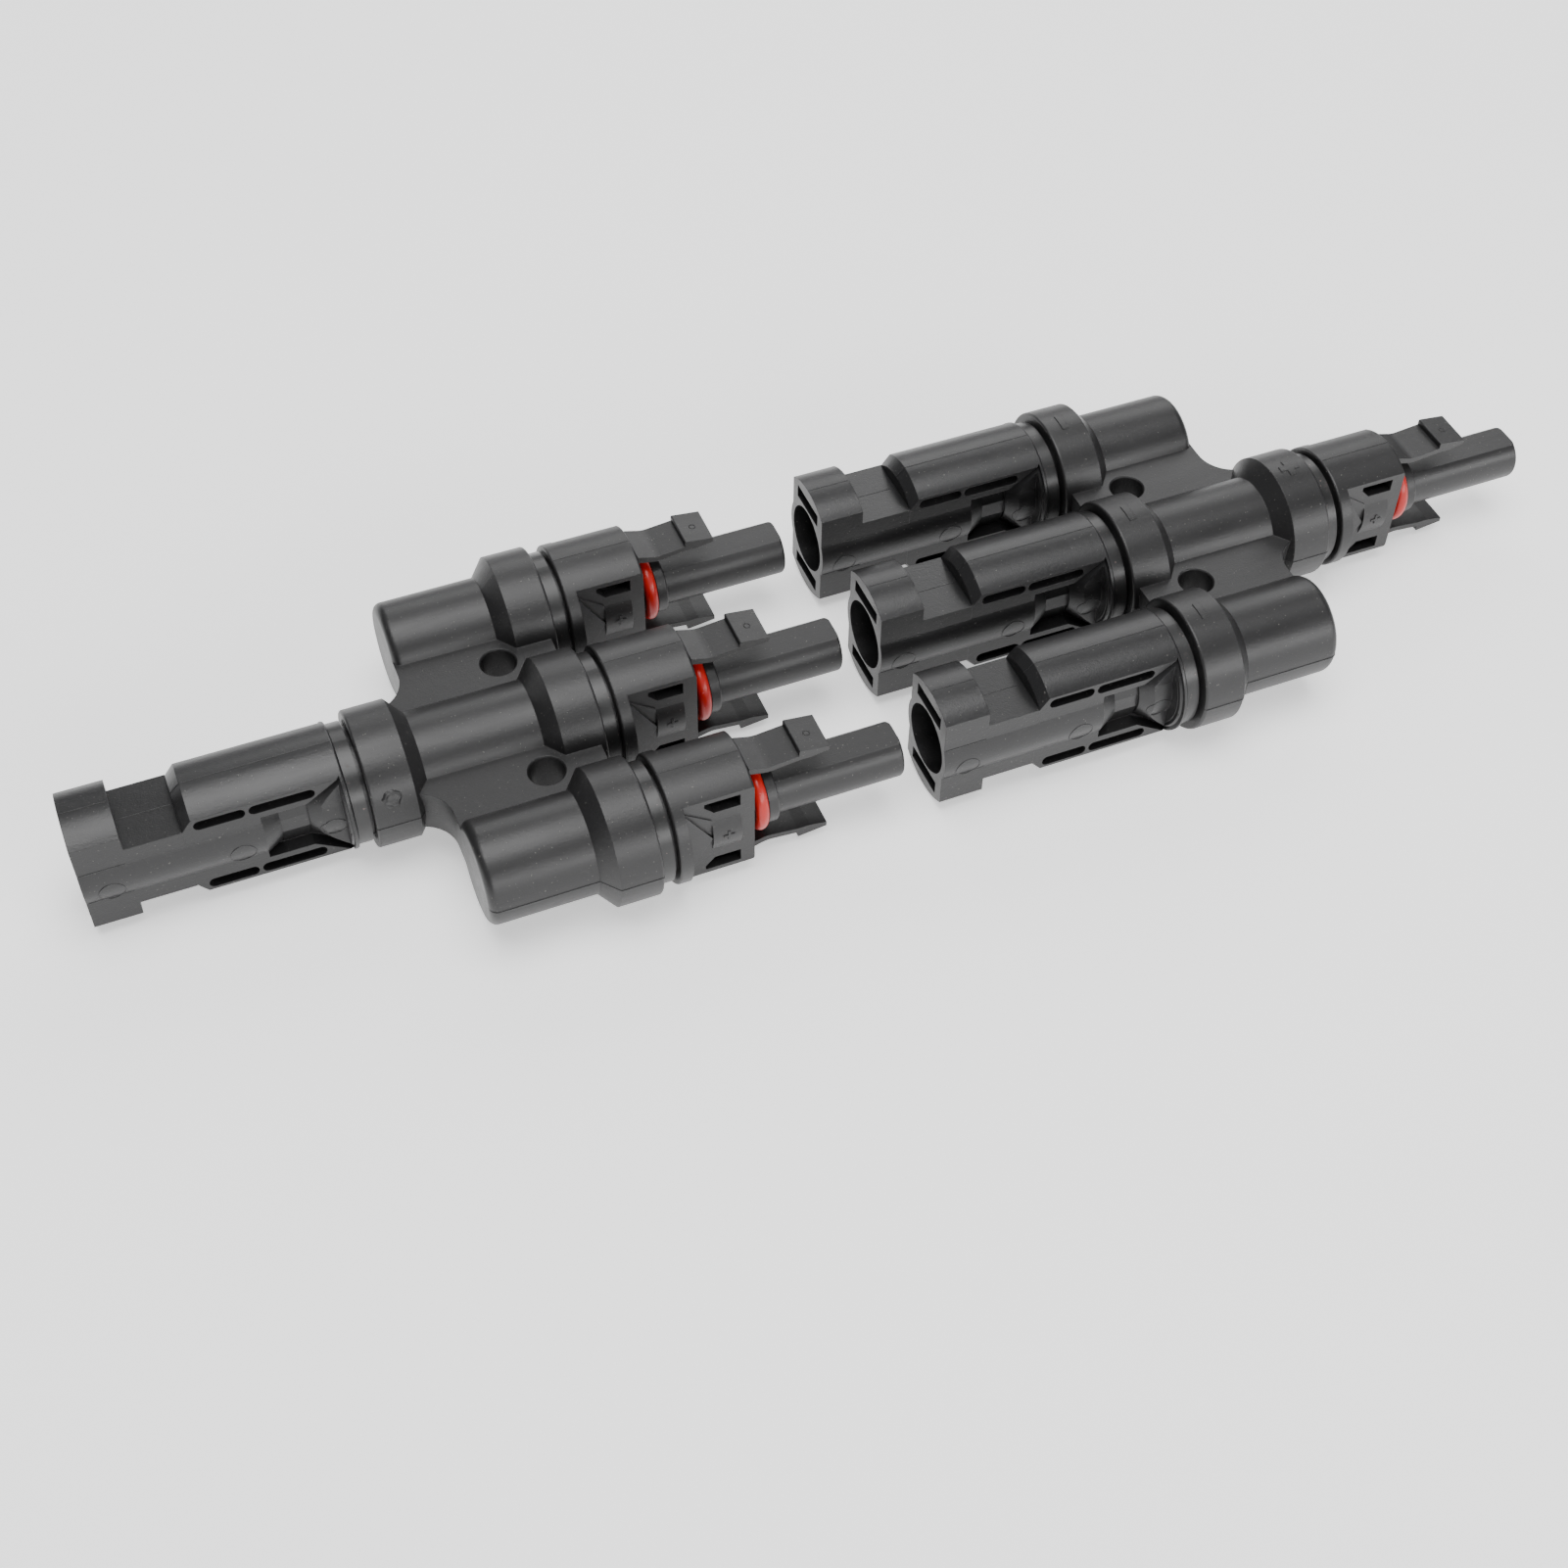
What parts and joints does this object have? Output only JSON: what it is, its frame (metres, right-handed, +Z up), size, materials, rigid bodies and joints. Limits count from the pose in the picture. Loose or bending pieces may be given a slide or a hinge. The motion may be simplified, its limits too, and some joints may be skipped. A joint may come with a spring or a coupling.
{
  "type": "solar branch connector pair",
  "caption": "Matched pair of black parallel branch connectors for solar cable, with probe ends, shell ends, red O-rings, latch fingers and screw holes.",
  "frame": {"origin": "under the middle of the pair, on the surface that the collars rest on", "axes": "+X along the connectors from the single mouth of half A to the single nose of half B, +Z up, +Y towards the back branch"},
  "size_m": [0.2308, 0.0654, 0.0203],
  "materials": {
    "body_plastic": "satin black moulded plastic",
    "shell_plastic": "satin black moulded plastic, a little glossier",
    "red_seal": "smooth red silicone rubber",
    "black_seal": "black rubber",
    "copper": "bare copper",
    "tinned_contact": "tin-plated copper",
    "spring_steel": "stainless spring steel"
  },
  "bodies": {
    "half_a": {"a_back_contact_clip": "spring_steel", "a_back_contact_spring": "spring_steel", "a_back_o_ring": "red_seal", "a_back_probe_housing": "body_plastic", "a_back_seal_ring": "black_seal", "a_back_socket_contact": "tinned_contact", "a_body_bottom": "body_plastic", "a_body_top": "body_plastic", "a_busbar": "copper", "a_front_contact_clip": "spring_steel", "a_front_contact_spring": "spring_steel", "a_front_o_ring": "red_seal", "a_front_probe_housing": "body_plastic", "a_front_seal_ring": "black_seal", "a_front_socket_contact": "tinned_contact", "a_middle_contact_clip": "spring_steel", "a_middle_contact_spring": "spring_steel", "a_middle_o_ring": "red_seal", "a_middle_probe_housing": "body_plastic", "a_middle_seal_ring": "black_seal", "a_middle_socket_contact": "tinned_contact", "a_trunk_contact_clip": "spring_steel", "a_trunk_pin_contact": "tinned_contact", "a_trunk_seal_ring": "black_seal", "a_trunk_shell_housing": "shell_plastic"},
    "half_b": {"b_back_contact_clip": "spring_steel", "b_back_pin_contact": "tinned_contact", "b_back_seal_ring": "black_seal", "b_back_shell_housing": "shell_plastic", "b_body_bottom": "body_plastic", "b_body_top": "body_plastic", "b_busbar": "copper", "b_front_contact_clip": "spring_steel", "b_front_pin_contact": "tinned_contact", "b_front_seal_ring": "black_seal", "b_front_shell_housing": "shell_plastic", "b_middle_contact_clip": "spring_steel", "b_middle_pin_contact": "tinned_contact", "b_middle_seal_ring": "black_seal", "b_middle_shell_housing": "shell_plastic", "b_trunk_contact_clip": "spring_steel", "b_trunk_contact_spring": "spring_steel", "b_trunk_o_ring": "red_seal", "b_trunk_probe_housing": "body_plastic", "b_trunk_seal_ring": "black_seal", "b_trunk_socket_contact": "tinned_contact"},
    "a_back_latch_finger_bottom": {"a_back_latch_finger_bottom": "body_plastic"},
    "a_back_latch_finger_top": {"a_back_latch_finger_top": "body_plastic"},
    "a_front_latch_finger_bottom": {"a_front_latch_finger_bottom": "body_plastic"},
    "a_front_latch_finger_top": {"a_front_latch_finger_top": "body_plastic"},
    "a_middle_latch_finger_bottom": {"a_middle_latch_finger_bottom": "body_plastic"},
    "a_middle_latch_finger_top": {"a_middle_latch_finger_top": "body_plastic"},
    "b_trunk_latch_finger_bottom": {"b_trunk_latch_finger_bottom": "body_plastic"},
    "b_trunk_latch_finger_top": {"b_trunk_latch_finger_top": "body_plastic"}
  },
  "joints": [
    {"name": "mate_slide", "type": "slide", "parent": "half_a", "child": "half_b", "axis": [-1, 0, 0], "range_m": [0, 0.0165]},
    {"name": "a_back_flex_bottom", "type": "hinge", "parent": "half_a", "child": "a_back_latch_finger_bottom", "pos_m": [-0.02613, 0.0225, 0.0026], "axis": [0, -1, 0], "range_deg": [0, 10], "stiffness_Nm_per_rad": 0.05},
    {"name": "a_back_flex_top", "type": "hinge", "parent": "half_a", "child": "a_back_latch_finger_top", "pos_m": [-0.02613, 0.0225, 0.0176], "axis": [0, 1, 0], "range_deg": [0, 10], "stiffness_Nm_per_rad": 0.05},
    {"name": "a_front_flex_bottom", "type": "hinge", "parent": "half_a", "child": "a_front_latch_finger_bottom", "pos_m": [-0.02613, -0.0225, 0.0026], "axis": [0, -1, 0], "range_deg": [0, 10], "stiffness_Nm_per_rad": 0.05},
    {"name": "a_front_flex_top", "type": "hinge", "parent": "half_a", "child": "a_front_latch_finger_top", "pos_m": [-0.02613, -0.0225, 0.0176], "axis": [0, 1, 0], "range_deg": [0, 10], "stiffness_Nm_per_rad": 0.05},
    {"name": "a_middle_flex_bottom", "type": "hinge", "parent": "half_a", "child": "a_middle_latch_finger_bottom", "pos_m": [-0.02613, 0, 0.0026], "axis": [0, -1, 0], "range_deg": [0, 10], "stiffness_Nm_per_rad": 0.05},
    {"name": "a_middle_flex_top", "type": "hinge", "parent": "half_a", "child": "a_middle_latch_finger_top", "pos_m": [-0.02613, 0, 0.0176], "axis": [0, 1, 0], "range_deg": [0, 10], "stiffness_Nm_per_rad": 0.05},
    {"name": "b_trunk_flex_bottom", "type": "hinge", "parent": "half_b", "child": "b_trunk_latch_finger_bottom", "pos_m": [0.09177, 0, 0.0026], "axis": [0, -1, 0], "range_deg": [0, 10], "stiffness_Nm_per_rad": 0.05},
    {"name": "b_trunk_flex_top", "type": "hinge", "parent": "half_b", "child": "b_trunk_latch_finger_top", "pos_m": [0.09177, 0, 0.0176], "axis": [0, 1, 0], "range_deg": [0, 10], "stiffness_Nm_per_rad": 0.05}
  ]
}
